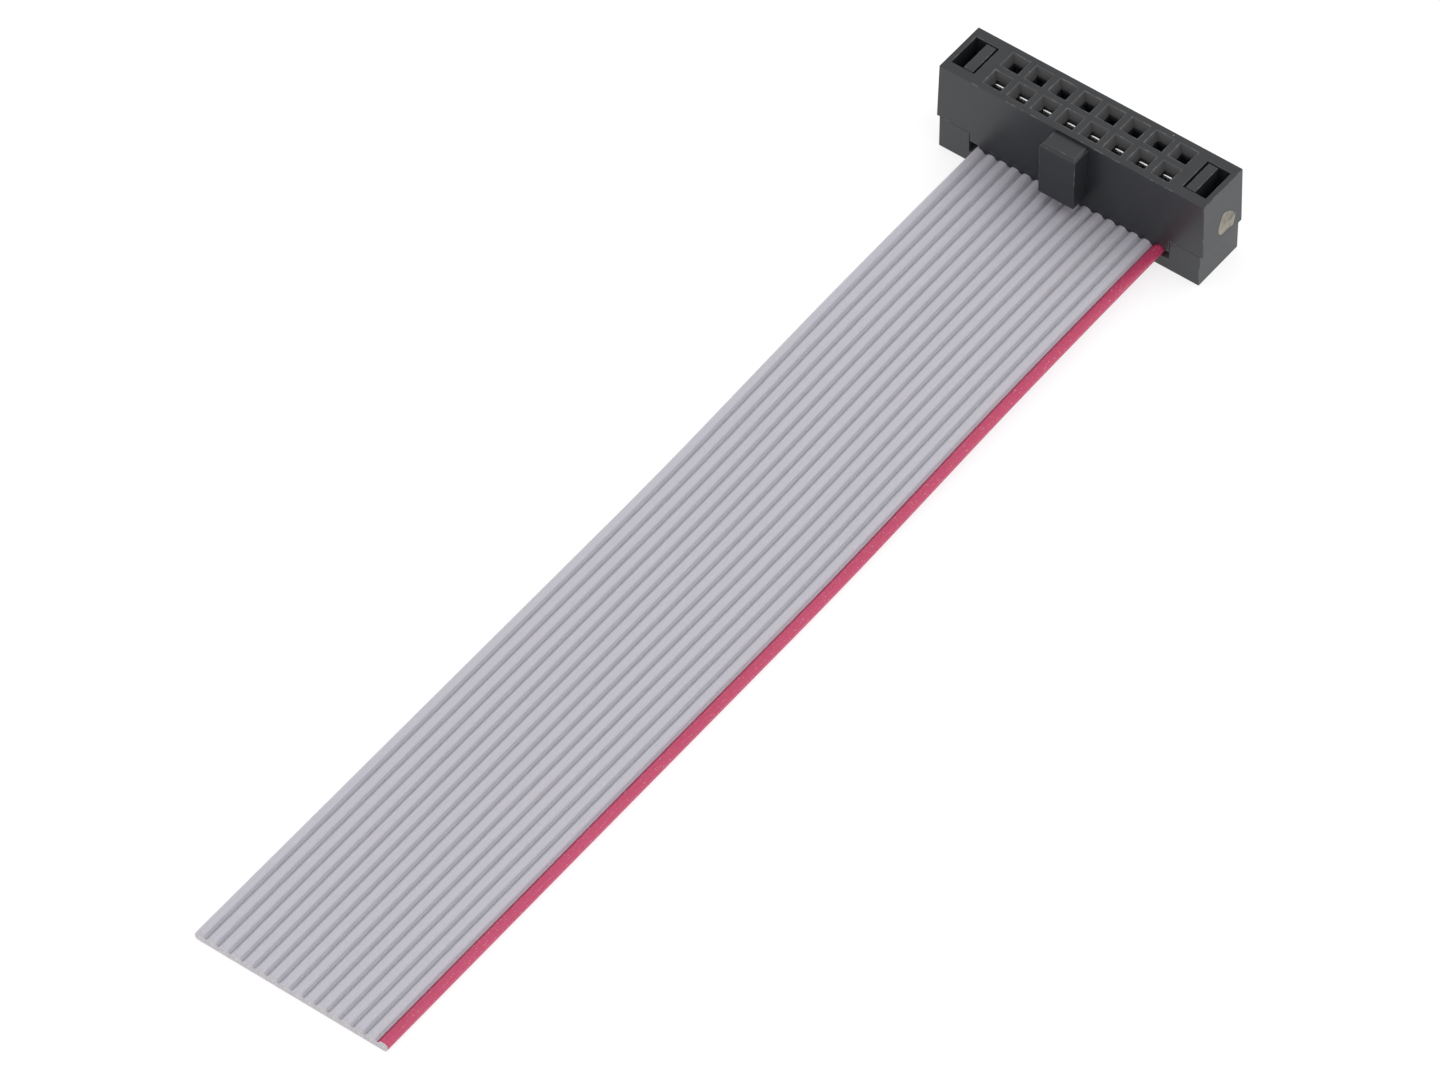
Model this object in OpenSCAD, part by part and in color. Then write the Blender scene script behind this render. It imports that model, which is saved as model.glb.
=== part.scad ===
// Flat ribbon cable with one outer wire marked, crimped in a two-row pin socket.
// The socket stands on its cover with the pin entries up, and the cable lies on the floor in front of it.
// X runs along the socket to the marked wire, the cable leaves towards minus Y, and Z is up.
// The origin is on the floor, below the middle of the contact grid.

/* [Cable] */
// Number of wires, two for each column of contacts
wires = 16; // [6:2:26]
// Spacing of the wires across the ribbon
wire_pitch = 1.27; // [1.2:0.01:1.4]
// Height of one wire with its insulation
wire_d = 0.9; // [0.8:0.01:0.95]
// Angle above the middle at which a web leaves its wire
web_angle = 19; // [14:1:24]
// Diameter of one stranded conductor
conductor_d = 0.38; // [0.3:0.01:0.42]
// Play of a conductor in its insulation
bore_gap = 0.01; // [0.005:0.005:0.02]

/* [Socket body] */
// Depth of the body and the cover, along the cable
body_depth = 5.8; // [5.4:0.1:7]
// Height of the mating face above the floor
face_z = 9.9; // [9.4:0.1:11]
// Height of the parting plane between cover and body
split_z = 3.6; // [3.2:0.1:4]
// From the last column of contacts to the end of the body
body_end = 5.26; // [5:0.02:6]
// Inward lean of each end wall, from the parting plane to the mating face
end_draft = 0.15; // [0:0.05:0.25]
// Distance between the two rows of contacts
row_pitch = 2.54; // [2.4:0.02:2.6]

/* [Pin entries] */
// Side of each square entry hole
entry_w = 1; // [0.9:0.02:1.1]
// Side of the lead-in funnel at the mating face
funnel_w = 1.9; // [1.5:0.05:2.1]
// Depth of the lead-in funnel
funnel_depth = 0.7; // [0.4:0.05:0.9]
// Thickness of the mating wall, funnel included
face_wall = 1.1; // [1:0.05:1.3]

/* [Polarizing key] */
// Width of the key
key_w = 3.75; // [3:0.05:4.5]
// How far the key stands out from the body
key_out = 2; // [1.2:0.1:2.4]
// How far the top of the key lies below the mating face
key_drop = 0.3; // [0.1:0.05:0.6]
// Chamfer round the top of the key
key_chamfer = 0.25; // [0.1:0.05:0.4]

/* [Latches] */
// Wall between each latch pocket and the end of the body, at the mating face
pocket_wall = 0.55; // [0.5:0.05:0.7]
// Room outside each latch arm, into which it springs
spring_room = 1.2; // [0.8:0.05:1.3]
// Thickness of a latch arm
arm_t = 1; // [0.8:0.05:1.1]
// Width of a latch arm, along the cable
arm_w = 3.5; // [2.5:0.1:3.8]
// Play of a latch arm in its pocket
arm_gap = 0.05; // [0.03:0.01:0.08]
// How far a latch hook stands in from its arm
hook_in = 0.17; // [0.1:0.01:0.22]
// Height of the ledge that the hooks hold, above the floor
ledge_z = 7; // [6:0.1:7.6]
// Length of a latch hook, with its ramp
hook_l = 1.3; // [1:0.05:1.5]

/* [Clamp] */
// Height of the wires' middle in the clamp, above the floor
clamp_z = 1.8; // [1.7:0.05:1.95]
// Play of the cable between cover and body, above and below
clamp_gap = 0.03; // [0.01:0.01:0.05]
// Play of the outer wires beside the cover's end blocks
side_room = 0.65; // [0.3:0.05:0.7]
// Length of the clamp, along the cable
clamp_l = 4.2; // [3.6:0.1:5]
// Height of the flared mouth above and below the wires
mouth_flare = 0.3; // [0.2:0.05:0.4]

/* [Contacts] */
// Thickness of the contact strip
strip_t = 0.22; // [0.18:0.01:0.25]
// Width of the two spring leaves
leaf_w = 0.88; // [0.7:0.02:0.88]
// From the row's middle to the middle of the contact's flat plate
plate_in = 0.66; // [0.62:0.01:0.7]
// Recess of the inner leaf's tip below the mating face
tip_recess = 0.8; // [0.6:0.05:1]
// From the inner leaf's tip down to the outer leaf's tip
tip_step = 1.8; // [1.4:0.1:2.4]
// Height of the bridge between the leaves, above the floor
bridge_z = 3.9; // [3.7:0.1:4.2]
// Width of the fork that grips a wire
fork_w = 1.2; // [1.1:0.02:1.26]
// Play of a conductor in its fork
fork_gap = 0.01; // [0.005:0.005:0.02]
// How far the points of the fork reach below the wires' middle
fork_reach = 0.9; // [0.7:0.05:1]
// Play of the contacts in the body, the cable and the cover
contact_gap = 0.04; // [0.02:0.01:0.05]

/* [Hidden] */
columns = wires / 2;
column_pitch = 2 * wire_pitch;
half_depth = body_depth / 2;
half_low = (columns - 1) * column_pitch / 2 + body_end;
half_top = half_low - end_draft;
cover_inset = 0.3;
half_cover = half_low - cover_inset;
ribbon_half = (wires - 1) * wire_pitch / 2 + wire_d / 2;
slot_half = ribbon_half + side_room;

// Latch pockets and arms, as distances from the middle of the socket
pocket_out = half_top - pocket_wall;
arm_out = pocket_out - spring_room;
arm_in = arm_out - arm_t;
hook_tip = arm_in - hook_in;
pocket_w = arm_w + 4 * arm_gap;
arm_top = face_z - arm_gap;

// Clamp faces and the chamber behind the pin entries
clamp_top = clamp_z + wire_d / 2 + clamp_gap;
groove_r = wire_d / 2 + 2 * clamp_gap;
web_half = wire_d / 2 * sin(web_angle);
cover_top = clamp_z - web_half - clamp_gap;
floor_t = clamp_z - wire_d / 2 - mouth_flare / 2;
chamber_top = face_z - face_wall;
chamber_in = plate_in + strip_t / 2 + 2 * contact_gap;
chamber_out = 0.75;

// Plate and fork of a contact
plate_rise = 0.3;
plate_top = bridge_z + plate_rise;
neck_drop = 0.5;
fork_slot_rise = 0.55;
fork_slot_top = clamp_z + fork_slot_rise;
fork_point = 0.35;
fork_tip_z = clamp_z - fork_reach;

// Spring leaves: the flared tip stays inside the entry hole, and the bump follows from it
bump_r = 0.6;
bump_low = 8;
bump_high = 25;
tip_run = 0.3;
tip_y = entry_w / 2 - contact_gap - strip_t / 2 * cos(bump_high);
bump_y = tip_y - tip_run * sin(bump_high) - bump_r * (1 - cos(bump_high));
leaf_rise = 1.3;
leaf_root = bridge_z + leaf_rise;
outer_bend_r = 0.2;

// How far a cut runs past a face, how deep a shape is rooted in its carrier, and a hair of overlap
over = 1;
root = 1;
hair = 0.01;

// Sides of the round cuts
groove_sides = 48;
slot_sides = 32;

// Cable section: eight corners for each wire, with flats above and below
corner_step = (180 - 2 * web_angle) / 3;
corner_r = wire_d / 2 / sin(web_angle + corner_step);
corner_angles = [for (half = [0, 180], k = [0:3]) half + web_angle + k * corner_step];

// Route of the cable's middle line as Y and Z, from the back of the socket to the cut end
route = [
    [2.9, 1.8], [-2.9, 1.8], [-9, 1.79], [-15, 1.73], [-20, 1.65], [-25, 1.53], [-30, 1.34], [-35, 1.1],
    [-40, 0.86], [-45, 0.64], [-50, 0.51], [-56, 0.45], [-74, 0.45], [-92, 0.45], [-111.2, 0.45]
];

shell_color = [0.15, 0.15, 0.16];
cover_color = [0.2, 0.2, 0.21];
jacket_color = [0.72, 0.71, 0.76];
contact_color = [0.83, 0.8, 0.72];
conductor_color = [0.78, 0.77, 0.74];

function numbered(kind, n) = str(kind, "_", n < 10 ? "0" : "", n);
function column_x(n) = ((columns - 1) / 2 - ceil(n / 2) + 1) * column_pitch;
function wire_x(n) = ((wires + 1) / 2 - n) * wire_pitch;
function row_side(n) = n % 2 == 1 ? -1 : 1;
function fork_offset(n) = wire_x(n) - column_x(n);
function backwards(list) = [for (i = [len(list) - 1:-1:0]) list[i]];

// Draws a profile given as X and Z, and gives it a length along Y about the middle
module along_y(length) {
    rotate([90, 0, 0]) linear_extrude(length, center = true) children();
}

// Draws a profile given as Y and Z, and gives it a length along X about the middle
module along_x(length) {
    rotate([90, 0, 90]) linear_extrude(length, center = true) children();
}

// A box from one corner to the opposite one
module span_box(low, high) {
    translate(low) cube(high - low);
}

// Puts its children in the place of contact n, with plus Y towards the middle of the socket
module at_contact(n) {
    translate([column_x(n), row_side(n) * row_pitch / 2, 0])
        mirror([0, row_side(n) > 0 ? 1 : 0, 0])
            children();
}

// Lead-in funnel and square entry hole of one pin
module pin_entry() {
    hole = entry_w / 2;
    wide = funnel_w / 2;
    low = face_z - funnel_depth;
    slope = [
        [-hole, low], [hole, low], [wide, face_z],
        [wide, face_z + over], [-wide, face_z + over], [-wide, face_z]
    ];
    intersection() {
        along_y(funnel_w) polygon(slope);
        along_x(funnel_w) polygon(slope);
    }
    span_box([-hole, -hole, chamber_top - over], [hole, hole, low + hair]);
}

// Room for the spring leaves and the plate of contact n, open below for assembly
module contact_chamber(n) {
    leaf_half = leaf_w / 2 + contact_gap;
    fork_half = fork_w / 2 + contact_gap;
    shift = fork_offset(n);
    plate_half = strip_t / 2 + contact_gap;
    span_box([-leaf_half, -chamber_out, 0], [leaf_half, chamber_in, chamber_top]);
    span_box(
        [min(-leaf_half, shift - fork_half), plate_in - plate_half, 0],
        [max(leaf_half, shift + fork_half), plate_in + plate_half, plate_top]
    );
}

// Polarizing key on the front, with its top edges chamfered
module key() {
    top = face_z - key_drop;
    half = key_w / 2;
    front = -half_depth - key_out;
    intersection() {
        along_y(4 * body_depth) polygon([
            [-half, split_z], [half, split_z], [half, top - key_chamfer],
            [half - key_chamfer, top], [-half + key_chamfer, top], [-half, top - key_chamfer]
        ]);
        along_x(2 * key_w) polygon([
            [front, split_z], [-half_depth + root, split_z], [-half_depth + root, top],
            [front + key_chamfer, top], [front, top - key_chamfer]
        ]);
    }
}

// Latch pocket at one end, wider above the ledge that holds the hook
module latch_pocket() {
    ledge_face = arm_in - arm_gap;
    hook_room = hook_tip - arm_gap;
    span_box([ledge_face, -pocket_w / 2, split_z - over], [pocket_out, pocket_w / 2, face_z + over]);
    span_box([hook_room, -pocket_w / 2, ledge_z], [arm_out, pocket_w / 2, face_z + over]);
}

// The clamp face under the body, with flared mouths at the front and the back
module clamp_block() {
    mouth_top = clamp_top + mouth_flare;
    along_x(2 * (slot_half - clamp_gap)) polygon([
        [-clamp_l / 2, clamp_top], [clamp_l / 2, clamp_top], [half_depth, mouth_top],
        [half_depth, split_z + root], [-half_depth, split_z + root], [-half_depth, mouth_top]
    ]);
}

module housing() {
    color(shell_color) difference() {
        union() {
            along_y(body_depth) polygon([
                [-half_low, split_z], [half_low, split_z], [half_top, face_z], [-half_top, face_z]
            ]);
            clamp_block();
            key();
        }
        for (n = [1:wires]) at_contact(n) {
            pin_entry();
            contact_chamber(n);
        }
        for (end = [0, 1]) mirror([end, 0, 0]) latch_pocket();
    }
}

// Latch arm at one end, with its hook on the side of the contacts
module latch_arm() {
    hook_z = ledge_z + arm_gap;
    ramp = hook_l / 3;
    along_y(arm_w) polygon([
        [arm_in, split_z - root], [arm_out, split_z - root], [arm_out, arm_top], [arm_in, arm_top],
        [arm_in, hook_z + hook_l], [hook_tip, hook_z + hook_l - ramp], [hook_tip, hook_z], [arm_in, hook_z]
    ]);
}

module cover() {
    color(cover_color) difference() {
        union() {
            along_x(2 * half_cover) polygon([
                [-half_depth, 0], [half_depth, 0], [half_depth, floor_t],
                [clamp_l / 2, cover_top], [-clamp_l / 2, cover_top], [-half_depth, floor_t]
            ]);
            for (end = [0, 1]) mirror([end, 0, 0]) {
                span_box([slot_half, -half_depth, 0], [half_cover, half_depth, split_z]);
                latch_arm();
            }
        }
        for (n = [1:wires]) {
            translate([wire_x(n), 0, clamp_z])
                rotate([90, 0, 0])
                    cylinder(h = body_depth + over, r = groove_r, center = true, $fn = groove_sides);
            at_contact(n) fork_pocket(fork_offset(n));
        }
    }
}

// Pocket in the cover that takes the points of a fork
module fork_pocket(shift) {
    half = fork_w / 2 + contact_gap;
    reach = strip_t / 2 + contact_gap;
    span_box(
        [shift - half, plate_in - reach, fork_tip_z - contact_gap],
        [shift + half, plate_in + reach, clamp_z]
    );
}

function wire_corners(x, r) = [for (a = corner_angles) [x + r * cos(a), r * sin(a)]];

// Direction of the route at point i, from the points beside it
function heading(i) =
    let (d = route[min(i + 1, len(route) - 1)] - route[max(i - 1, 0)]) d / norm(d);

// Sets a list of section points, given across and up, square to the route at point i
function ring(i, section) =
    let (d = heading(i))
    [for (p = section) [p[0], route[i][0] + p[1] * d[1], route[i][1] - p[1] * d[0]]];

function sweep(section) = [for (i = [0:len(route) - 1]) each ring(i, section)];

// Side faces between two corners of the section, along the whole route
function side_faces(size, a, b) = [
    for (i = [0:len(route) - 2]) [i * size + a, (i + 1) * size + a, (i + 1) * size + b, i * size + b]
];

// The jacket's section holds eight outer and eight inner corners for each wire
function outer_corner(w, c) = 16 * w + c % 8;
function inner_corner(w, c) = 16 * w + 8 + c % 8;

jacket_section = [
    for (w = [wires:-1:1]) each concat(
        wire_corners(wire_x(w), corner_r),
        wire_corners(wire_x(w), conductor_d / 2 + bore_gap)
    )
];
jacket_size = len(jacket_section);

// Outline of the section, as pairs of corners that follow each other round it
jacket_edges = concat(
    [for (w = [0:wires - 1], c = [0, 1, 2, 4, 5, 6]) [outer_corner(w, c), outer_corner(w, c + 1)]],
    [for (w = [0:wires - 2]) [outer_corner(w + 1, 3), outer_corner(w, 0)]],
    [for (w = [0:wires - 2]) [outer_corner(w, 7), outer_corner(w + 1, 4)]],
    [[outer_corner(0, 3), outer_corner(0, 4)], [outer_corner(wires - 1, 7), outer_corner(wires - 1, 0)]]
);

bore_edges = [for (w = [0:wires - 1], c = [0:7]) [inner_corner(w, c + 1), inner_corner(w, c)]];

// Cut end of the jacket, seen from the connector: a collar round each wire and a web between two
jacket_end = concat(
    [for (w = [0:wires - 1], c = [0:7])
        [outer_corner(w, c), outer_corner(w, c + 1), inner_corner(w, c + 1), inner_corner(w, c)]],
    [for (w = [0:wires - 2])
        [outer_corner(w, 7), outer_corner(w + 1, 4), outer_corner(w + 1, 3), outer_corner(w, 0)]]
);

module jacket_body() {
    last = (len(route) - 1) * jacket_size;
    polyhedron(
        points = sweep(jacket_section),
        faces = concat(
            [for (e = concat(jacket_edges, bore_edges)) each side_faces(jacket_size, e[0], e[1])],
            jacket_end,
            [for (f = jacket_end) backwards([for (k = f) k + last])]
        )
    );
}

// Cut that the fork of contact n makes through the jacket
module fork_slit(n) {
    half = fork_w / 2 + contact_gap / 2;
    reach = strip_t / 2 + contact_gap / 2;
    at_contact(n) span_box(
        [fork_offset(n) - half, plate_in - reach, clamp_z - wire_d],
        [fork_offset(n) + half, plate_in + reach, clamp_z + wire_d]
    );
}

module ribbon_jacket() {
    color(jacket_color) difference() {
        jacket_body();
        for (n = [1:wires]) fork_slit(n);
    }
}

module conductor(n) {
    size = len(corner_angles);
    last = (len(route) - 1) * size;
    color(conductor_color) polyhedron(
        points = sweep(wire_corners(wire_x(n), conductor_d / 2)),
        faces = concat(
            [for (c = [0:size - 1]) each side_faces(size, c, (c + 1) % size)],
            [[for (c = [0:size - 1]) c]],
            [[for (c = [size - 1:-1:0]) last + c]]
        )
    );
}

// Points beside a line, at a distance from it
function beside(line, off) = [
    for (i = [0:len(line) - 1])
        let (d = line[min(i + 1, len(line) - 1)] - line[max(i - 1, 0)])
        line[i] + off * [-d[1], d[0]] / norm(d)
];

function arc(middle, r, from, to, steps = 6) =
    [for (k = [0:steps]) let (a = from + (to - from) * k / steps) middle + r * [cos(a), sin(a)]];

// Middle line of a leaf's bump and flared tip, as Y and Z, with the pin on the minus Y side
function bump_line(tip_z) =
    let (
        middle = [bump_y + bump_r, tip_z - bump_r * sin(bump_high) - tip_run * cos(bump_high)],
        curve = arc(middle, bump_r, 180 + bump_low, 180 - bump_high),
        last = curve[len(curve) - 1]
    )
    concat(curve, [last + tip_run * [sin(bump_high), cos(bump_high)]]);

module strip(line) {
    polygon(concat(beside(line, strip_t / 2), backwards(beside(line, -strip_t / 2))));
}

// Flat plate of a contact, with the fork that grips its wire
module fork_plate(shift) {
    neck = leaf_w / 2;
    half = fork_w / 2;
    gap = conductor_d / 2 + fork_gap;
    middle = (half + gap) / 2;
    shoulder = plate_top - 2 * neck_drop;
    along_y(strip_t) difference() {
        polygon([
            [-neck, leaf_root], [neck, leaf_root], [neck, plate_top - neck_drop], [shift + half, shoulder],
            [shift + half, fork_tip_z + fork_point], [shift + middle, fork_tip_z],
            [shift + gap, fork_tip_z + fork_point], [shift - gap, fork_tip_z + fork_point],
            [shift - middle, fork_tip_z], [shift - half, fork_tip_z + fork_point],
            [shift - half, shoulder], [-neck, plate_top - neck_drop]
        ]);
        translate([shift - gap, 0]) square([2 * gap, fork_slot_top]);
        translate([shift, fork_slot_top]) circle(gap, $fn = slot_sides);
    }
}

module contact(n) {
    inner_tip = face_z - tip_recess - strip_t / 2;
    inner_line = concat([[plate_in, plate_top], [plate_in, leaf_root]], bump_line(inner_tip));
    outer_y = plate_in - strip_t;
    bend = [-outer_y + outer_bend_r, bridge_z + outer_bend_r];
    outer_line = concat(
        [[plate_in, bridge_z], [-outer_y + 2 * outer_bend_r, bridge_z]],
        arc(bend, outer_bend_r, 270, 180, 4),
        [for (p = bump_line(inner_tip - tip_step)) [-p[0], p[1]]]
    );
    color(contact_color) at_contact(n) {
        along_x(leaf_w) strip(inner_line);
        along_x(leaf_w) strip(outer_line);
        translate([0, plate_in, 0]) fork_plate(fork_offset(n));
    }
}

housing();
cover();
ribbon_jacket();
for (n = [1:wires]) {
    contact(n);
    conductor(n);
}
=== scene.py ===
import math

import bmesh
import bpy
from mathutils import Matrix, Vector


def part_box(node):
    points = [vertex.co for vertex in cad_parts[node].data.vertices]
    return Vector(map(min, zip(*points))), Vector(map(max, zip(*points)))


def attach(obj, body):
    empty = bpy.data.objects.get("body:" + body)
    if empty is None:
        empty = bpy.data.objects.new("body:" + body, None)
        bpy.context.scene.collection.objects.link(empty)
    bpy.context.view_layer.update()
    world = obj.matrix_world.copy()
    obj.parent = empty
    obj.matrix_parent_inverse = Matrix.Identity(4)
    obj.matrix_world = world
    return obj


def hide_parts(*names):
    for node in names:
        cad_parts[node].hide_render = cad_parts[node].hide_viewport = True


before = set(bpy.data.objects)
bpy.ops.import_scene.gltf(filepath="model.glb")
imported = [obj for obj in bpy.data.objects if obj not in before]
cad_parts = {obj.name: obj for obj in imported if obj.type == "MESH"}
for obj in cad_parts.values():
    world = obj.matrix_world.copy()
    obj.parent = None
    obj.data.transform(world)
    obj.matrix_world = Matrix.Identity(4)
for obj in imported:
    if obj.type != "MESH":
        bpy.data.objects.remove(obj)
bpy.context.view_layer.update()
scene = bpy.context.scene
mm = 0.001
weld = 1e-6  # metres, points nearer than this are one
print("frame loaded:", len(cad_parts), "nodes")


# Node trees

class Signal:  # the output of a node, with arithmetic on values
    def __init__(self, tree, socket):
        self.tree = tree
        self.socket = socket

    def maths(self, operation, *terms):
        return self.tree.add("ShaderNodeMath", {"operation": operation}, dict(enumerate(terms)))

    def __add__(self, other):
        return self.maths("ADD", self, other)

    def __radd__(self, other):
        return self.maths("ADD", other, self)

    def __sub__(self, other):
        return self.maths("SUBTRACT", self, other)

    def __rsub__(self, other):
        return self.maths("SUBTRACT", other, self)

    def __mul__(self, other):
        return self.maths("MULTIPLY", self, other)

    def __rmul__(self, other):
        return self.maths("MULTIPLY", other, self)

    def __truediv__(self, other):
        return self.maths("DIVIDE", self, other)

    def __rtruediv__(self, other):
        return self.maths("DIVIDE", other, self)

    def __pow__(self, other):
        return self.maths("POWER", self, other)

    def __rpow__(self, other):
        return self.maths("POWER", other, self)

    def __abs__(self):
        return self.maths("ABSOLUTE", self)

    def __lt__(self, other):
        return self.maths("LESS_THAN", self, other)

    def __gt__(self, other):
        return self.maths("GREATER_THAN", self, other)


class Tree:  # a node tree, and the one method that adds any node to it
    def __init__(self, tree):
        self.tree = tree

    def add(self, kind, settings=None, values=None, out=0):
        node = self.tree.nodes.new(kind)
        for key, value in (settings or {}).items():
            setattr(node, key, value)
        for key, value in (values or {}).items():
            entry = pick(node.inputs, key)
            if isinstance(value, Signal):
                self.tree.links.new(value.socket, entry)
            else:
                entry.default_value = value
        return Signal(self, pick(node.outputs, out)) if node.outputs else None


def pick(sockets, key):  # by number, or the first one in use that has the name
    if isinstance(key, int):
        return sockets[key]
    return next(s for s in sockets if s.name == key and s.enabled)


def axisOf(tree, vector, axis):  # one coordinate of a vector
    return tree.add("ShaderNodeSeparateXYZ", {}, {0: vector}, axis)


def scaled(tree, vector, factor):
    return tree.add("ShaderNodeVectorMath", {"operation": "SCALE"}, {0: vector, "Scale": factor})


def mixed(tree, factor, a, b):  # a colour between two colours
    return tree.add("ShaderNodeMix", {"data_type": "RGBA"}, {"Factor": factor, "A": a, "B": b}, "Result")


# in the settings a noise is its scale, detail, roughness and stretch, a relief its depth and strength
noiseMiddle = 0.5  # value that noise spreads round


def noise(tree, coords, scale, detail, roughness=0.5, stretch=None):
    if stretch:
        coords = tree.add("ShaderNodeVectorMath", {"operation": "MULTIPLY"}, {0: coords, 1: stretch})
    values = {"Vector": coords, "Scale": scale, "Detail": detail, "Roughness": roughness}
    return tree.add("ShaderNodeTexNoise", {}, values)


def smoothStep(tree, value, span, ends):  # from one end to the other as the value crosses the span
    return tree.add("ShaderNodeMapRange", {"interpolation_type": "SMOOTHSTEP"}, {
        "Value": value,
        "From Min": span[0],
        "From Max": span[1],
        "To Min": ends[0],
        "To Max": ends[1],
    })


def bump(tree, height, depth, strength):
    return tree.add("ShaderNodeBump", {}, {"Height": height, "Distance": depth, "Strength": strength})


def newMaterial(name):
    material = bpy.data.materials.new(name)
    material.use_nodes = True
    material.node_tree.nodes.clear()
    tree = Tree(material.node_tree)
    return material, tree, tree.add("ShaderNodeTexCoord", out="Object")


def closeMaterial(tree, values):
    shader = tree.add("ShaderNodeBsdfPrincipled", {}, values)
    tree.add("ShaderNodeOutputMaterial", {}, {"Surface": shader})


def geometryTree(name, inputs):  # a Geometry Nodes tree with named inputs
    group = bpy.data.node_groups.new(name, "GeometryNodeTree")
    group.interface.new_socket("Geometry", in_out="OUTPUT", socket_type="NodeSocketGeometry")
    group.interface.new_socket("Geometry", in_out="INPUT", socket_type="NodeSocketGeometry")
    for label, kind in inputs.items():
        group.interface.new_socket(label, in_out="INPUT", socket_type="NodeSocket" + kind)
    tree = Tree(group)
    source = tree.add("NodeGroupInput").socket.node
    return group, tree, {s.name: Signal(tree, s) for s in source.outputs if s.name}


def circleCurve(tree, sides, radius):
    values = {"Resolution": sides, "Radius": radius}
    return tree.add("GeometryNodeCurvePrimitiveCircle", {"mode": "RADIUS"}, values)


def shadedSmooth(tree, geometry, on=True):
    return tree.add("GeometryNodeSetShadeSmooth", {}, {"Geometry": geometry, "Shade Smooth": on})


def join(tree, *parts):
    joined = tree.add("GeometryNodeJoinGeometry")
    for part in reversed(parts):
        tree.tree.links.new(part.socket, joined.socket.node.inputs[0])
    return joined


def closeGeometry(tree, geometry, material):
    real = tree.add("GeometryNodeRealizeInstances", {}, {"Geometry": geometry})
    done = tree.add("GeometryNodeSetMaterial", {}, {"Geometry": real, "Material": material})
    tree.add("NodeGroupOutput", {}, {"Geometry": done})


# Objects and meshes

def linked(name, data):
    thing = bpy.data.objects.new(name, data)
    scene.collection.objects.link(thing)
    return thing


def plainCopy(name, carrier):  # the carrier's mesh after its modifiers, as an object without any
    graph = bpy.context.evaluated_depsgraph_get()
    mesh = bpy.data.meshes.new_from_object(carrier.evaluated_get(graph), depsgraph=graph)
    mesh.name = name
    bpy.data.objects.remove(carrier)
    return linked(name, mesh)


def baked(name, data, group, values):  # the result of a geometry tree
    carrier = linked(name + "_carrier", data)
    modifier = carrier.modifiers.new("shape", "NODES")
    modifier.node_group = group
    for item in group.interface.items_tree:
        if item.in_out == "INPUT" and item.name in values:
            modifier[item.identifier] = values[item.name]
    return plainCopy(name, carrier)


def slab(name, front, back, material):  # closed body between two outlines with as many points
    form = bmesh.new()
    near = [form.verts.new(p) for p in front]
    far = [form.verts.new(p) for p in back]
    form.faces.new(near)
    form.faces.new(list(reversed(far)))
    for k in range(len(near)):
        j = (k + 1) % len(near)
        form.faces.new((near[j], near[k], far[k], far[j]))
    bmesh.ops.recalc_face_normals(form, faces=form.faces)
    mesh = bpy.data.meshes.new(name)
    form.to_mesh(mesh)
    form.free()
    mesh.materials.append(material)
    return mesh


# Camera

cameraView = {
    "azimuth": 36.83,  # degrees, from the cable's side towards the red wire
    "elevation": 48.84,
    "roll": 0.1,
    "distance": 0.9253,
    "target": (-0.00163, -0.05087, 0),
    "lens": 274.4,
    "sensor": 36,
    "clip": (0.01, 20),
}


def makeCamera(view):
    azimuth = math.radians(view["azimuth"])
    elevation = math.radians(view["elevation"])
    flat = math.cos(elevation)
    back = Vector((math.sin(azimuth) * flat, -math.cos(azimuth) * flat, math.sin(elevation)))
    right = Vector((math.cos(azimuth), math.sin(azimuth), 0))
    turn = Matrix((right, back.cross(right), back)).transposed().to_4x4()
    data = bpy.data.cameras.new("camera")
    data.lens = view["lens"]
    data.sensor_width = view["sensor"]
    data.clip_start, data.clip_end = view["clip"]
    camera = linked("camera", data)
    place = Matrix.Translation(Vector(view["target"]) + back * view["distance"])
    camera.matrix_world = place @ turn @ Matrix.Rotation(math.radians(view["roll"]), 4, "Z")
    scene.camera = camera


makeCamera(cameraView)
print("camera set")


# Ribbon: sixteen insulated wires side by side, each with its half of the web on either side

ribbon = {
    "wires": 16,
    "pitch": 1.27 * mm,
    "diameter": 0.9 * mm,
    "sides": 84,  # puts a corner of the section on the middle of each web
    "webSteps": 3,  # corners from there up to the top of the web
    "squareness": 2.5,  # 2 is round, more is flatter on top
    "broadening": 1.07,  # of a wire's half that faces a web
    "fillet": 0.06 * mm,
    "bore": 0.39 * mm,
    "boreSides": 20,
    "ringStep": 1.9 * mm,
    "pressed": 0.3 * mm,  # length at the cut end whose underside the shears have pressed flat
    "exit": (-2.9 * mm, 1.8 * mm),  # Y and Z where the wires leave the socket
    # middle line as Y and Z in millimetres, from the back of the socket to the cut end
    "route": [
        (2.9, 1.8), (-2.9, 1.8), (-9, 1.79), (-15, 1.73), (-20, 1.65), (-25, 1.53), (-30, 1.34),
        (-35, 1.1), (-40, 0.86), (-45, 0.64), (-50, 0.51), (-56, 0.45), (-74, 0.45), (-92, 0.45),
        (-111.2, 0.45),
    ],
}
strands = {
    "around": 6,
    "diameter": 0.127 * mm,
    "lay": 11 * mm,  # length of one turn
    "sides": 7,
    "recess": 0.01 * mm,
    "phaseStep": 0.7,  # radians from wire to wire, so that the twists don't line up
    "tone": (0.74, 0.73, 0.71, 1),
    "darkTone": (0.66, 0.65, 0.63, 1),
    "cloud": (3800, 3),
    "roughness": 0.4,
    "roughnessSpread": 0.2,
    "relief": (0.003 * mm, 0.5),
}


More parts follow.
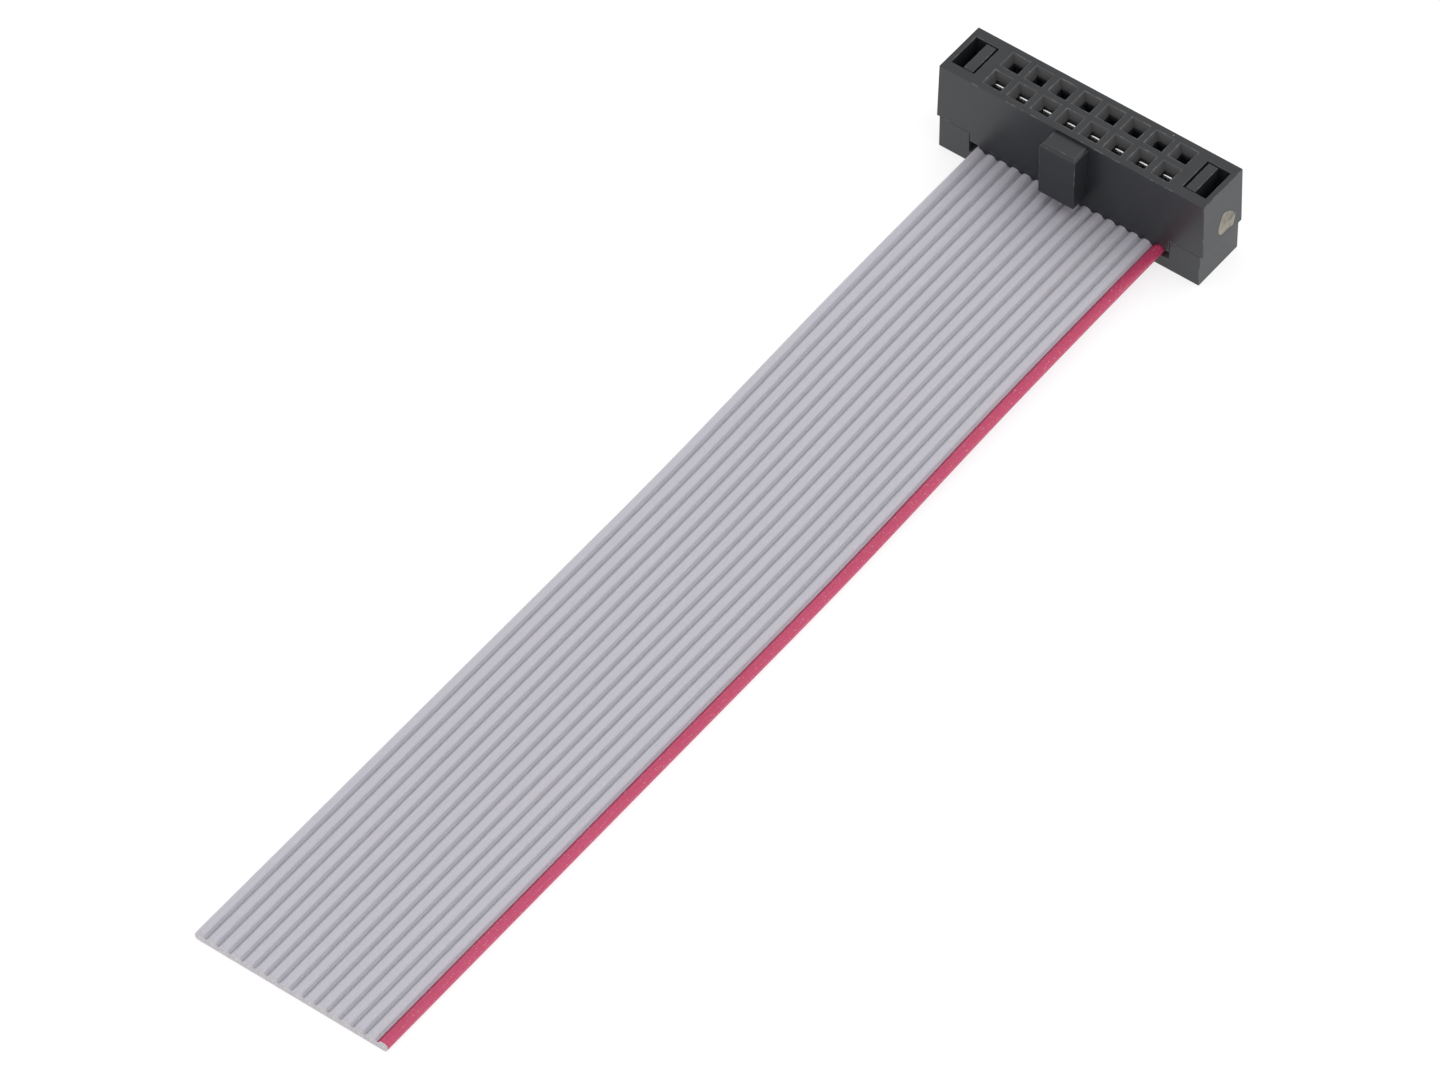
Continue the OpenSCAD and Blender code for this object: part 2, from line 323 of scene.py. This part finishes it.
def smoothRoute(points, step):  # ring centres on a curve through the points, as Y and Z in metres
    ends = [Vector(p) * mm for p in points]
    ends = [ends[0] * 2 - ends[1]] + ends + [ends[-1] * 2 - ends[-2]]
    rings = [ends[1]]
    for a, b, c, d in zip(ends, ends[1:], ends[2:], ends[3:]):
        count = max(1, round((c - b).length / step))
        slopeB = (c - a) / ((c - a).length) * (c - b).length
        slopeC = (d - b) / ((d - b).length) * (c - b).length
        for k in range(1, count + 1):
            t = k / count
            s = 1 - t
            fromB = b * s * s * (1 + 2 * t) + slopeB * t * s * s
            rings.append(fromB + c * t * t * (3 - 2 * t) - slopeC * s * t * t)
    return [Vector((y, max(z, ribbon["diameter"] / 2))) for y, z in rings]


def webHalf():  # half the thickness of a web
    return ribbon["pitch"] / 2 * math.tan(math.tau / ribbon["sides"] * ribbon["webSteps"])


def wireX(n):  # wire 1 is the red one, on the plus X side
    return ((ribbon["wires"] + 1) / 2 - n) * ribbon["pitch"]


def routeCurve(name, rings, x):
    curve = bpy.data.curves.new(name, "CURVE")
    curve.dimensions = "3D"
    spline = curve.splines.new("POLY")
    spline.points.add(len(rings) - 1)
    for point, (y, z) in zip(spline.points, rings):
        point.co = (x, y, z, 1)
    return curve


def pressedDown(across, up, given):  # a point's height once the web's underside is level with the wire's
    webSide = (across > 0) * (given["Reach plus X"] > 0) + (across < 0) * (given["Reach minus X"] > 0)
    deep = up.maths("MAXIMUM", up * given["Diameter"] / 2 / given["Web half"], given["Diameter"] * -0.5)
    return up + (deep - up) * (up < 0) * webSide


def wireTree():
    group, tree, given = geometryTree("insulated wire", {
        "Diameter": "Float",
        "Web half": "Float",
        "Reach plus X": "Float",
        "Reach minus X": "Float",
        "Squareness": "Float",
        "Broadening": "Float",
        "Fillet": "Float",
        "Bore": "Float",
        "Sides": "Int",
        "Bore sides": "Int",
        "Start": "Vector",
        "End": "Vector",
        "Material": "Material",
    })
    place = tree.add("GeometryNodeInputPosition")
    across = axisOf(tree, place, "X")
    up = axisOf(tree, place, "Y")
    nearZero = 1e-4  # keeps the divisions off zero
    # the sweep turns the section's X round, so its minus side comes to plus X
    reach = (across < 0) * given["Reach plus X"] + (across > 0) * given["Reach minus X"]
    flat = across.maths("MAXIMUM", abs(across), nearZero)
    steep = up.maths("MAXIMUM", abs(up), nearZero)
    web = reach.maths("MINIMUM", reach / flat, given["Web half"] / steep)
    power = given["Squareness"]
    narrowed = flat / (1 + (reach > 0) * (given["Broadening"] - 1))
    ridge = (narrowed ** power + steep ** power) ** (-1 / power) * given["Diameter"] / 2
    radius = web.maths("SMOOTH_MAX", web, ridge, given["Fillet"])
    outline = tree.add("GeometryNodeSetPosition", {}, {
        "Geometry": circleCurve(tree, given["Sides"], 1.0),
        "Position": scaled(tree, place, radius),
    })
    hole = circleCurve(tree, given["Bore sides"], given["Bore"] / 2)
    path = tree.add("GeometryNodeSetCurveNormal", {"mode": "Z_UP"}, {"Curve": given["Geometry"]})
    swept = tree.add("GeometryNodeCurveToMesh", {}, {"Curve": path, "Profile Curve": outline})
    fromEnd = tree.add("ShaderNodeVectorMath", {"operation": "SUBTRACT"}, {0: place, 1: given["End"]})
    height = axisOf(tree, fromEnd, "Z")
    drop = pressedDown(axisOf(tree, fromEnd, "X"), height, given) - height
    skin = tree.add("GeometryNodeSetPosition", {}, {
        "Geometry": swept,
        "Selection": axisOf(tree, fromEnd, "Y") < weld,
        "Offset": tree.add("ShaderNodeCombineXYZ", {}, {"Z": drop}),
    })
    wall = tree.add("GeometryNodeCurveToMesh", {}, {"Curve": path, "Profile Curve": hole})
    inside = tree.add("GeometryNodeFlipFaces", {}, {"Mesh": wall})
    tube = shadedSmooth(tree, join(tree, skin, inside))

    def cutFace(rim, centre):
        face = tree.add("GeometryNodeFillCurve", {"mode": "TRIANGLES"}, {"Curve": join(tree, rim, hole)})
        upright = (math.pi / 2, 0, math.pi)
        values = {"Geometry": face, "Translation": centre, "Rotation": upright}
        return tree.add("GeometryNodeTransform", {}, values)

    low = pressedDown(0 - across, up, given)
    flattened = tree.add("ShaderNodeCombineXYZ", {}, {"X": across, "Y": low})
    pressed = tree.add("GeometryNodeSetPosition", {}, {"Geometry": outline, "Position": flattened})
    farFace = tree.add("GeometryNodeFlipFaces", {}, {"Mesh": cutFace(pressed, given["End"])})
    faces = shadedSmooth(tree, join(tree, cutFace(outline, given["Start"]), farFace), False)
    closed = tree.add(
        "GeometryNodeMergeByDistance", {}, {"Geometry": join(tree, tube, faces), "Distance": weld})
    closeGeometry(tree, closed, given["Material"])
    return group


def strandTree():
    group, tree, given = geometryTree("stranded conductor", {
        "Around": "Int",
        "Diameter": "Float",
        "Lay": "Float",
        "Sides": "Int",
        "Phase": "Float",
        "Material": "Material",
    })
    core = given["Geometry"]
    copies = tree.add("GeometryNodeDuplicateElements", {"domain": "SPLINE"}, {
        "Geometry": core,
        "Amount": given["Around"],
    })
    copyNumber = Signal(tree, pick(copies.socket.node.outputs, "Duplicate Index"))
    length = tree.add("GeometryNodeSplineParameter", out="Length")
    angle = length / given["Lay"] * math.tau + copyNumber / given["Around"] * math.tau + given["Phase"]
    tangent = tree.add("GeometryNodeInputTangent")
    side = tree.add("ShaderNodeVectorMath", {"operation": "CROSS_PRODUCT"}, {0: tangent, 1: (1, 0, 0)})
    aside = tree.add("ShaderNodeCombineXYZ", {}, {"X": angle.maths("COSINE", angle) * given["Diameter"]})
    rise = scaled(tree, side, angle.maths("SINE", angle) * given["Diameter"])
    offset = tree.add("ShaderNodeVectorMath", {"operation": "ADD"}, {0: aside, 1: rise})
    twisted = tree.add("GeometryNodeSetPosition", {}, {"Geometry": copies, "Offset": offset})
    solid = tree.add("GeometryNodeCurveToMesh", {}, {
        "Curve": join(tree, core, twisted),
        "Profile Curve": circleCurve(tree, given["Sides"], given["Diameter"] / 2),
        "Fill Caps": True,
    })
    closeGeometry(tree, shadedSmooth(tree, solid), given["Material"])
    return group


insulation = {
    "grey": (0.455, 0.452, 0.515, 1),
    "greyWarm": (0.488, 0.47, 0.5, 1),
    "red": (0.51, 0.052, 0.142, 1),
    "redDeep": (0.435, 0.031, 0.094, 1),
    "streaks": (5200, 3, 0.6, (1, 0.04, 1)),
    "cloud": (260, 4, 0.55, (1, 0.35, 1)),
    "specks": (7800, 1),
    # the second tone's share is cloud and streaks by these weights, less the offset
    "cloudWeight": 0.75,
    "streakWeight": 0.4,
    "blendOffset": 0.1,
    "dust": (0.6, 0.6, 0.64, 1),
    "dustFrom": 0.7,  # of the specks' noise
    "dustCover": 0.5,
    "grooveShade": 0.88,  # painted shade: tone of the webs against the wires, darker as if in shadow
    "grooveShadeSpan": (0.36, 0.45),  # in spacings off a wire's middle
    "roughness": 0.45,
    "roughnessSpread": 0.16,
    "cutRoughness": 0.25,  # added on the cut faces
    "bend": 1.52,  # refractive index
    "scatter": 0.45,
    "scatterTint": (1, 0.85, 0.9),
    "scatterRadius": 0.35 * mm,
    "grainMix": (0.7, 0.3),  # streaks and specks
    "relief": (0.006 * mm, 0.6),
    # past these the cut faces show, grey on the red wire too
    "farCut": -111.12 * mm,
    "nearCut": 2.85 * mm,
}


def insulationMaterial(name, tone, otherTone):
    material, tree, coords = newMaterial(name)
    across = axisOf(tree, coords, "X")
    along = axisOf(tree, coords, "Y")
    offCentre = abs(across.maths("FRACT", across / ribbon["pitch"]) - 0.5)
    # painted shade: the webs between the wires are darkened where shade falls in the grooves
    web = smoothStep(tree, offCentre, insulation["grooveShadeSpan"], (1.0, insulation["grooveShade"]))
    streaks = noise(tree, coords, *insulation["streaks"])
    cloud = noise(tree, coords, *insulation["cloud"])
    specks = noise(tree, coords, *insulation["specks"])
    dust = (specks > insulation["dustFrom"]) * insulation["dustCover"]
    weighted = cloud * insulation["cloudWeight"] + streaks * insulation["streakWeight"]
    blend = weighted - insulation["blendOffset"]
    dusty = mixed(tree, dust, mixed(tree, blend, tone, otherTone), insulation["dust"])
    cut = along.maths("MAXIMUM", along < insulation["farCut"], along > insulation["nearCut"])
    spread = (streaks - noiseMiddle) * insulation["roughnessSpread"]
    grain = streaks * insulation["grainMix"][0] + specks * insulation["grainMix"][1]
    closeMaterial(tree, {
        "Base Color": mixed(tree, cut, scaled(tree, dusty, web), insulation["greyWarm"]),
        "Roughness": insulation["roughness"] + spread + cut * insulation["cutRoughness"],
        "IOR": insulation["bend"],
        "Subsurface Weight": insulation["scatter"],
        "Subsurface Radius": insulation["scatterTint"],
        "Subsurface Scale": insulation["scatterRadius"],
        "Normal": bump(tree, grain, *insulation["relief"]),
    })
    return material


def strandMaterial():
    material, tree, coords = newMaterial("tinned copper")
    cloud = noise(tree, coords, *strands["cloud"])
    closeMaterial(tree, {
        "Base Color": mixed(tree, cloud, strands["tone"], strands["darkTone"]),
        "Metallic": 1.0,
        "Roughness": strands["roughness"] + cloud * strands["roughnessSpread"],
        "Normal": bump(tree, cloud, *strands["relief"]),
    })
    return material


def makeRibbon():
    rings = smoothRoute(ribbon["route"], ribbon["ringStep"])
    rings.insert(-1, rings[-1] + Vector((ribbon["pressed"], 0)))
    inner = rings[:-1] + [rings[-1] + Vector((strands["recess"], 0))]
    grey = insulationMaterial("grey insulation", insulation["grey"], insulation["greyWarm"])
    red = insulationMaterial("red insulation", insulation["red"], insulation["redDeep"])
    tin = strandMaterial()
    wireShape = wireTree()
    strandShape = strandTree()
    for n in range(1, ribbon["wires"] + 1):
        x = wireX(n)
        label = f"{n:02d}"
        wire = baked("wire_" + label, routeCurve("route_" + label, rings, x), wireShape, {
            "Diameter": ribbon["diameter"],
            "Web half": webHalf(),
            "Reach plus X": 0.0 if n == 1 else ribbon["pitch"] / 2,
            "Reach minus X": 0.0 if n == ribbon["wires"] else ribbon["pitch"] / 2,
            "Squareness": ribbon["squareness"],
            "Broadening": ribbon["broadening"],
            "Fillet": ribbon["fillet"],
            "Bore": ribbon["bore"],
            "Sides": ribbon["sides"],
            "Bore sides": ribbon["boreSides"],
            "Start": (x, *rings[0]),
            "End": (x, *rings[-1]),
            "Material": red if n == 1 else grey,
        })
        conductor = baked("strands_" + label, routeCurve("core_" + label, inner, x), strandShape, {
            "Around": strands["around"],
            "Diameter": strands["diameter"],
            "Lay": strands["lay"],
            "Sides": strands["sides"],
            "Phase": strands["phaseStep"] * n,
            "Material": tin,
        })
        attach(wire, "root")
        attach(conductor, "root")
        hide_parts("ribbon_jacket")
        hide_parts("conductor_" + label)


makeRibbon()
print("ribbon made:", ribbon["wires"], "wires")


# Socket: body, cover and contacts with softened edges

socket = {
    "tone": (0.017, 0.0185, 0.021, 1),
    "bodyLift": 1.45,  # how many times as bright the palest clouds are
    "coverLift": 1.6,
    "cloud": (320, 4, 0.55),
    "grain": (9000, 3, 0.6),
    "fibre": (16000, 1, 0.5, (1, 1, 0.25)),
    "patches": (1100, 3, 0.6),
    "speck": (0.055, 0.056, 0.06, 1),
    "speckFrom": 0.73,  # of the fibres' noise
    "speckCover": 0.6,
    # paler tone for wear and a painted highlight on the rounded edges
    "wornAndLit": (0.09, 0.092, 0.096, 1),
    "wornAndLitLeast": 0.15,  # cover on every rounded edge: a painted highlight, with some wear
    "wornAndLitMore": 0.75,  # and on top of it in the patches, wear and painted highlight
    "wornFrom": 0.56,  # of the patches' noise
    "fleck": (0.3, 0.31, 0.33, 1),
    "fleckCells": 430,  # to the metre
    "fleckSize": 0.055,  # in cells
    "fleckFrom": 0.7,  # only the cells with a number over this have one
    "leadInLight": (0.052, 0.051, 0.053, 1),  # painted light: the lead-ins round the entries are painted paler than the face, as if lit from the front
    "leadReach": 2.4 * mm,  # they lie nearer the middle than this
    "leadHeight": 8.4 * mm,  # and higher up than this
    "leadSlope": (0.3, 0.95),  # with a normal whose Z is between these
    "roughness": 0.36,
    "roughnessCloud": 0.14,
    "roughnessGrain": 0.1,
    "polish": 0.06,  # off the roughness on the rounded edges, which rubbing has smoothed
    "bend": 1.45,  # refractive index
    "grainMix": (0.8, 0.2),  # grain and cloud
    "relief": (0.008 * mm, 0.5),
    "edge": 0.07 * mm,
    "room": 3,  # an edge with less space than this many widths stays sharp
}
contacts = {
    "cool": (0.93, 0.92, 0.91, 1),
    "warm": (0.91, 0.885, 0.85, 1),
    "cloud": (1500, 3),
    "rolled": (2400, 2, 0.5, (12, 1, 1)),
    "roughness": 0.26,
    "roughnessSpread": 0.12,
    "relief": (0.002 * mm, 0.4),
    "edge": 0.1 * mm,
    "room": 2.1,
}
softening = {
    "segments": 3,
    "profile": 0.5,
    "angle": math.radians(28),  # edges flatter than this are left
    "sharp": math.radians(50),
    "flat": 0.99999,  # cosine between the normals of faces in one plane
}


def socketPlastic(name, lift):
    material, tree, coords = newMaterial(name)
    cloud = noise(tree, coords, *socket["cloud"])
    grain = noise(tree, coords, *socket["grain"])
    fibre = noise(tree, coords, *socket["fibre"])
    patches = noise(tree, coords, *socket["patches"])
    paler = tuple(c * lift for c in socket["tone"][:3]) + (1,)
    specks = (fibre > socket["speckFrom"]) * socket["speckCover"]
    speckled = mixed(tree, specks, mixed(tree, cloud, socket["tone"], paler), socket["speck"])
    # painted light: the lead-in slopes are painted paler, as if lit from the front
    lead = tree.add("ShaderNodeAttribute", {"attribute_name": "lead_in"}, out="Fac")
    withLeadInLight = mixed(tree, lead, speckled, socket["leadInLight"])
    # partly real wear, partly a painted highlight along every rounded edge
    wearAndHighlight = tree.add("ShaderNodeAttribute", {"attribute_name": "wearAndHighlight"}, out="Fac")
    rubbedAndLit = wearAndHighlight * (socket["wornAndLitLeast"] + (patches > socket["wornFrom"]) * socket["wornAndLitMore"])
    cells = {"Vector": coords, "Scale": socket["fleckCells"], "Randomness": 1.0}
    distance = tree.add("ShaderNodeTexVoronoi", {}, cells, "Distance")
    number = axisOf(tree, tree.add("ShaderNodeTexVoronoi", {}, cells, "Color"), "X")
    flecks = (distance < socket["fleckSize"]) * (number > socket["fleckFrom"])
    clouded = socket["roughness"] + (cloud - noiseMiddle) * socket["roughnessCloud"]
    grained = clouded + (grain - noiseMiddle) * socket["roughnessGrain"]
    height = grain * socket["grainMix"][0] + cloud * socket["grainMix"][1]
    closeMaterial(tree, {
        "Base Color": mixed(tree, flecks, mixed(tree, rubbedAndLit, withLeadInLight, socket["wornAndLit"]), socket["fleck"]),
        "Roughness": grained - rubbedAndLit * socket["polish"],
        "IOR": socket["bend"],
        "Normal": bump(tree, height, *socket["relief"]),
    })
    return material


def contactMetal():
    material, tree, coords = newMaterial("contact metal")
    cloud = noise(tree, coords, *contacts["cloud"])
    rolled = noise(tree, coords, *contacts["rolled"])
    closeMaterial(tree, {
        "Base Color": mixed(tree, cloud, contacts["cool"], contacts["warm"]),
        "Metallic": 1.0,
        "Roughness": contacts["roughness"] + rolled * contacts["roughnessSpread"],
        "Normal": bump(tree, rolled, *contacts["relief"]),
    })
    return material


def flatGroups(form):  # faces that lie together in one plane and have one rim without holes
    seen = set()
    groups = []
    for first in form.faces:
        if first in seen:
            continue
        seen.add(first)
        group = [first]
        for face in group:
            for other in (o for e in face.edges for o in e.link_faces):
                if other not in seen and other.normal.dot(first.normal) > softening["flat"]:
                    seen.add(other)
                    group.append(other)
        inside = set(group)
        rim = {e for f in group for e in f.edges if not inside.issuperset(e.link_faces)}
        if len(group) > 1 and isOneLoop(rim):
            groups.append(group)
    return groups


def isOneLoop(rim):
    ends = {}
    for edge in rim:
        for vert in edge.verts:
            ends.setdefault(vert, []).append(edge)
    if any(len(edges) != 2 for edges in ends.values()):
        return False
    vert = next(iter(ends))
    walked = {vert}
    edge = ends[vert][0]
    while edge.other_vert(vert) not in walked:
        vert = edge.other_vert(vert)
        walked.add(vert)
        edge = next(e for e in ends[vert] if e is not edge)
    return len(walked) == len(ends)


def isLeadIn(face):
    middle = face.calc_center_median()
    low, high = socket["leadSlope"]
    near = abs(middle.y) < socket["leadReach"] and middle.z > socket["leadHeight"]
    return near and low < face.normal.z < high


def softenedCopy(node, name, material, look):  # the CAD shape with its free edges rounded
    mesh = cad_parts[node].data.copy()
    form = bmesh.new()
    form.from_mesh(mesh)
    bmesh.ops.remove_doubles(form, verts=form.verts, dist=weld)
    for group in flatGroups(form):
        bmesh.ops.dissolve_faces(form, faces=group, use_verts=True)
    room = look["room"] * look["edge"]
    roomy = {v for v in form.verts if all(e.calc_length() > room for e in v.link_edges)}
    edges = [
        e for e in form.edges
        if e.is_convex and e.calc_face_angle() > softening["angle"] and roomy.issuperset(e.verts)]
    rounded = bmesh.ops.bevel(
        form, geom=edges, offset=look["edge"], offset_type="OFFSET", segments=softening["segments"],
        profile=softening["profile"], affect="EDGES", clamp_overlap=False)
    # marks the rounded edges for wear and their painted highlight
    wearAndHighlight = form.loops.layers.float.new("wearAndHighlight")
    for face in rounded["faces"]:
        for corner in face.loops:
            corner[wearAndHighlight] = 1.0
    # marks the lead-in faces for their painted light
    leadIn = form.faces.layers.float.new("lead_in")
    bevelled = set(rounded["faces"])
    for face in form.faces:
        face.smooth = True
        face.material_index = 0
        face[leadIn] = isLeadIn(face) and face not in bevelled
    for edge in form.edges:
        edge.smooth = edge.calc_face_angle(0) < softening["sharp"]
    form.to_mesh(mesh)
    form.free()
    mesh.materials.clear()
    mesh.materials.append(material)
    carrier = linked(name + "_carrier", mesh)
    carrier.modifiers.new("normals", "WEIGHTED_NORMAL").keep_sharp = True
    piece = plainCopy(name, carrier)
    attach(piece, "root")
    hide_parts(node)


bodyPlastic = socketPlastic("socket plastic", socket["bodyLift"])
coverPlastic = socketPlastic("cover plastic", socket["coverLift"])
softenedCopy("housing", "socket_body", bodyPlastic, socket)
softenedCopy("cover", "socket_cover", coverPlastic, socket)
print("socket made")


# Comb: the lower edge of the body, which follows each wire where the ribbon goes in

comb = {
    "play": 0.03 * mm,  # between a tooth and the wires
    "steps": 9,  # on one side of a tooth
    "front": -2.89 * mm,
    "back": -2.0 * mm,
    "top": 2.62 * mm,
    # the red wire has a higher arch, from the last tooth over to its outer side
    "archMiddle": 9.64 * mm,
    "archHalf": 0.655 * mm,
    "archRise": 0.74 * mm,
    "archTurn": math.radians(60),
    "archOuter": 10.61 * mm,
}


def toothSide():  # one side of a tooth from the bottom up, as X and Z
    radius = ribbon["diameter"] / 2 + comb["play"]
    low = webHalf() + comb["play"]
    power = ribbon["squareness"]
    side = []
    for k in range(comb["steps"] + 1):
        height = low + (radius - low) * math.sin(k / comb["steps"] * math.pi / 2)
        ridge = radius * ribbon["broadening"] * max(0, 1 - (height / radius) ** power) ** (1 / power)
        side.append((ribbon["pitch"] / 2 - ridge, ribbon["exit"][1] + height))
    return side + [(ribbon["pitch"] / 2, comb["top"])]


def toothOutline():
    side = toothSide()
    return side + [(-x, z) for x, z in reversed(side)]


def archOutline():  # the last tooth and the arch over the red wire
    tooth = wireX(1) - ribbon["pitch"] / 2
    inner = -math.acos((webHalf() + comb["play"]) / comb["archRise"])
    steps = 2 * comb["steps"]
    arch = []
    for k in range(steps + 1):
        turn = inner + (comb["archTurn"] - inner) * k / steps
        across = comb["archMiddle"] + comb["archHalf"] * math.sin(turn)
        arch.append((across, ribbon["exit"][1] + comb["archRise"] * math.cos(turn)))
    arch += [(comb["archOuter"], arch[-1][1]), (comb["archOuter"], comb["top"])]
    return [(tooth - x, z) for x, z in reversed(toothSide())] + arch


def combSlab(name, outline):  # from the front of the comb to its back
    front = [(x, comb["front"], z) for x, z in outline]
    back = [(x, comb["back"], z) for x, z in outline]
    return slab(name, front, back, bodyPlastic)


def combTree():
    group, tree, given = geometryTree(
        "comb", {"Count": "Int", "First": "Float", "Spacing": "Float", "Material": "Material"})
    line = tree.add("GeometryNodeMeshLine", {"mode": "OFFSET"}, {
        "Count": given["Count"],
        "Start Location": tree.add("ShaderNodeCombineXYZ", {}, {"X": given["First"]}),
        "Offset": tree.add("ShaderNodeCombineXYZ", {}, {"X": given["Spacing"]}),
    })
    teeth = tree.add("GeometryNodeInstanceOnPoints", {}, {"Points": line, "Instance": given["Geometry"]})
    closeGeometry(tree, teeth, given["Material"])
    return group


def makeComb():
    teeth = baked("mouth_comb", combSlab("comb_tooth", toothOutline()), combTree(), {
        "Count": ribbon["wires"] - 2,
        "First": wireX(ribbon["wires"]) + ribbon["pitch"] / 2,
        "Spacing": ribbon["pitch"],
        "Material": bodyPlastic,
    })
    arch = linked("mouth_arch", combSlab("mouth_arch", archOutline()))
    for piece in (teeth, arch):
        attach(piece, "root")


makeComb()
print("comb made")

metal = contactMetal()
for n in range(1, ribbon["wires"] + 1):
    softenedCopy(f"contact_{n:02d}", f"spring_{n:02d}", metal, contacts)
print("contacts made")


# Paint mark on the end face beside the first contact

paintMark = {
    # outline as Y and Z in millimetres on the end face
    "outline": [
        (0.17, 6.82), (1.1, 6.3), (1.76, 5.55), (1.91, 5.08), (1.66, 4.53), (1.59, 4.09), (0.81, 4.38),
        (0.15, 4.3), (-0.45, 4.46), (-0.72, 5.17), (-0.42, 6.02), (-0.14, 6.54),
    ],
    "rounding": 2,  # times that each corner is cut
    "cuts": (0.25, 0.75),  # places along each side where a cut meets it
    "thickness": 0.02 * mm,
    "sunk": 0.01 * mm,
    "leanFrom": 3.6 * mm,  # height from which the end face leans in
    "lean": 0.15 * mm,  # as far as this at the top
    "tone": (0.27, 0.245, 0.195, 1),
    "thinTone": (0.11, 0.105, 0.09, 1),
    "thinSpan": (0.42, 0.72),  # of the cloud's noise
    "cloud": (900, 4, 0.65),
    "roughness": 0.5,
    "roughnessSpread": 0.2,
    "relief": (0.01 * mm, 0.7),
}


def cutCorners(points, times):
    for _ in range(times):
        pairs = list(zip(points, points[1:] + points[:1]))
        points = [a.lerp(b, t) for a, b in pairs for t in paintMark["cuts"]]
    return points


def markMaterial():
    material, tree, coords = newMaterial("cream paint")
    cloud = noise(tree, coords, *paintMark["cloud"])
    thin = smoothStep(tree, cloud, paintMark["thinSpan"], (0.0, 1.0))
    closeMaterial(tree, {
        "Base Color": mixed(tree, thin, paintMark["tone"], paintMark["thinTone"]),
        "Roughness": paintMark["roughness"] + cloud * paintMark["roughnessSpread"],
        "Normal": bump(tree, cloud, *paintMark["relief"]),
    })
    return material


def makeMark():
    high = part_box("housing")[1]
    start = paintMark["leanFrom"]
    lean = paintMark["lean"] / (high.z - start)
    points = cutCorners([Vector(p) * mm for p in paintMark["outline"]], paintMark["rounding"])

    def layer(lift):
        return [(high.x - lean * (p.y - start) + lift, p.x, p.y) for p in points]

    mesh = slab("paint_mark", layer(paintMark["thickness"]), layer(-paintMark["sunk"]), markMaterial())
    piece = linked("paint_mark", mesh)
    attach(piece, "root")


makeMark()
print("paint mark made")


# Floor and light

studio = {
    "floorSize": 3.0,
    "floorTone": (0.3, 0.3, 0.3, 1),
    "floorShade": (0.32, 0.32, 0.325, 1),
    "floorCloud": (30, 2),
    "floorRoughness": 0.95,
    "floorGlow": 0.72,
    "light": (1, 1, 1, 1),
    "world": 1.0,
    "keyPower": 3.2,
    "keySize": 1.2,
    "keyDirection": (0.5, 0.25, 0.83),
    "keyDistance": 1.3,
}


def makeFloor():
    material, tree, coords = newMaterial("floor paper")
    cloud = noise(tree, coords, *studio["floorCloud"])
    closeMaterial(tree, {
        "Base Color": mixed(tree, cloud, studio["floorTone"], studio["floorShade"]),
        "Roughness": studio["floorRoughness"],
        "Emission Color": studio["light"],
        "Emission Strength": studio["floorGlow"],
    })
    half = studio["floorSize"] / 2
    corners = [(-half, -half, 0), (half, -half, 0), (half, half, 0), (-half, half, 0)]
    mesh = bpy.data.meshes.new("floor")
    mesh.from_pydata(corners, [], [(0, 1, 2, 3)])
    mesh.materials.append(material)
    linked("floor", mesh)


def makeLight():
    world = bpy.data.worlds.new("studio")
    scene.world = world
    world.use_nodes = True
    world.node_tree.nodes.clear()
    surround = Tree(world.node_tree)
    values = {"Color": studio["light"], "Strength": studio["world"]}
    glow = surround.add("ShaderNodeBackground", {}, values)
    surround.add("ShaderNodeOutputWorld", {}, {"Surface": glow})

    data = bpy.data.lights.new("key", "AREA")
    data.shape = "SQUARE"
    data.size = studio["keySize"]
    data.energy = studio["keyPower"]
    key = linked("key", data)
    direction = Vector(studio["keyDirection"]).normalized()
    key.location = direction * studio["keyDistance"]
    key.rotation_mode = "QUATERNION"
    key.rotation_quaternion = direction.to_track_quat("Z", "Y")
    scene.view_settings.view_transform = "Standard"


makeFloor()
makeLight()
print("studio lit")
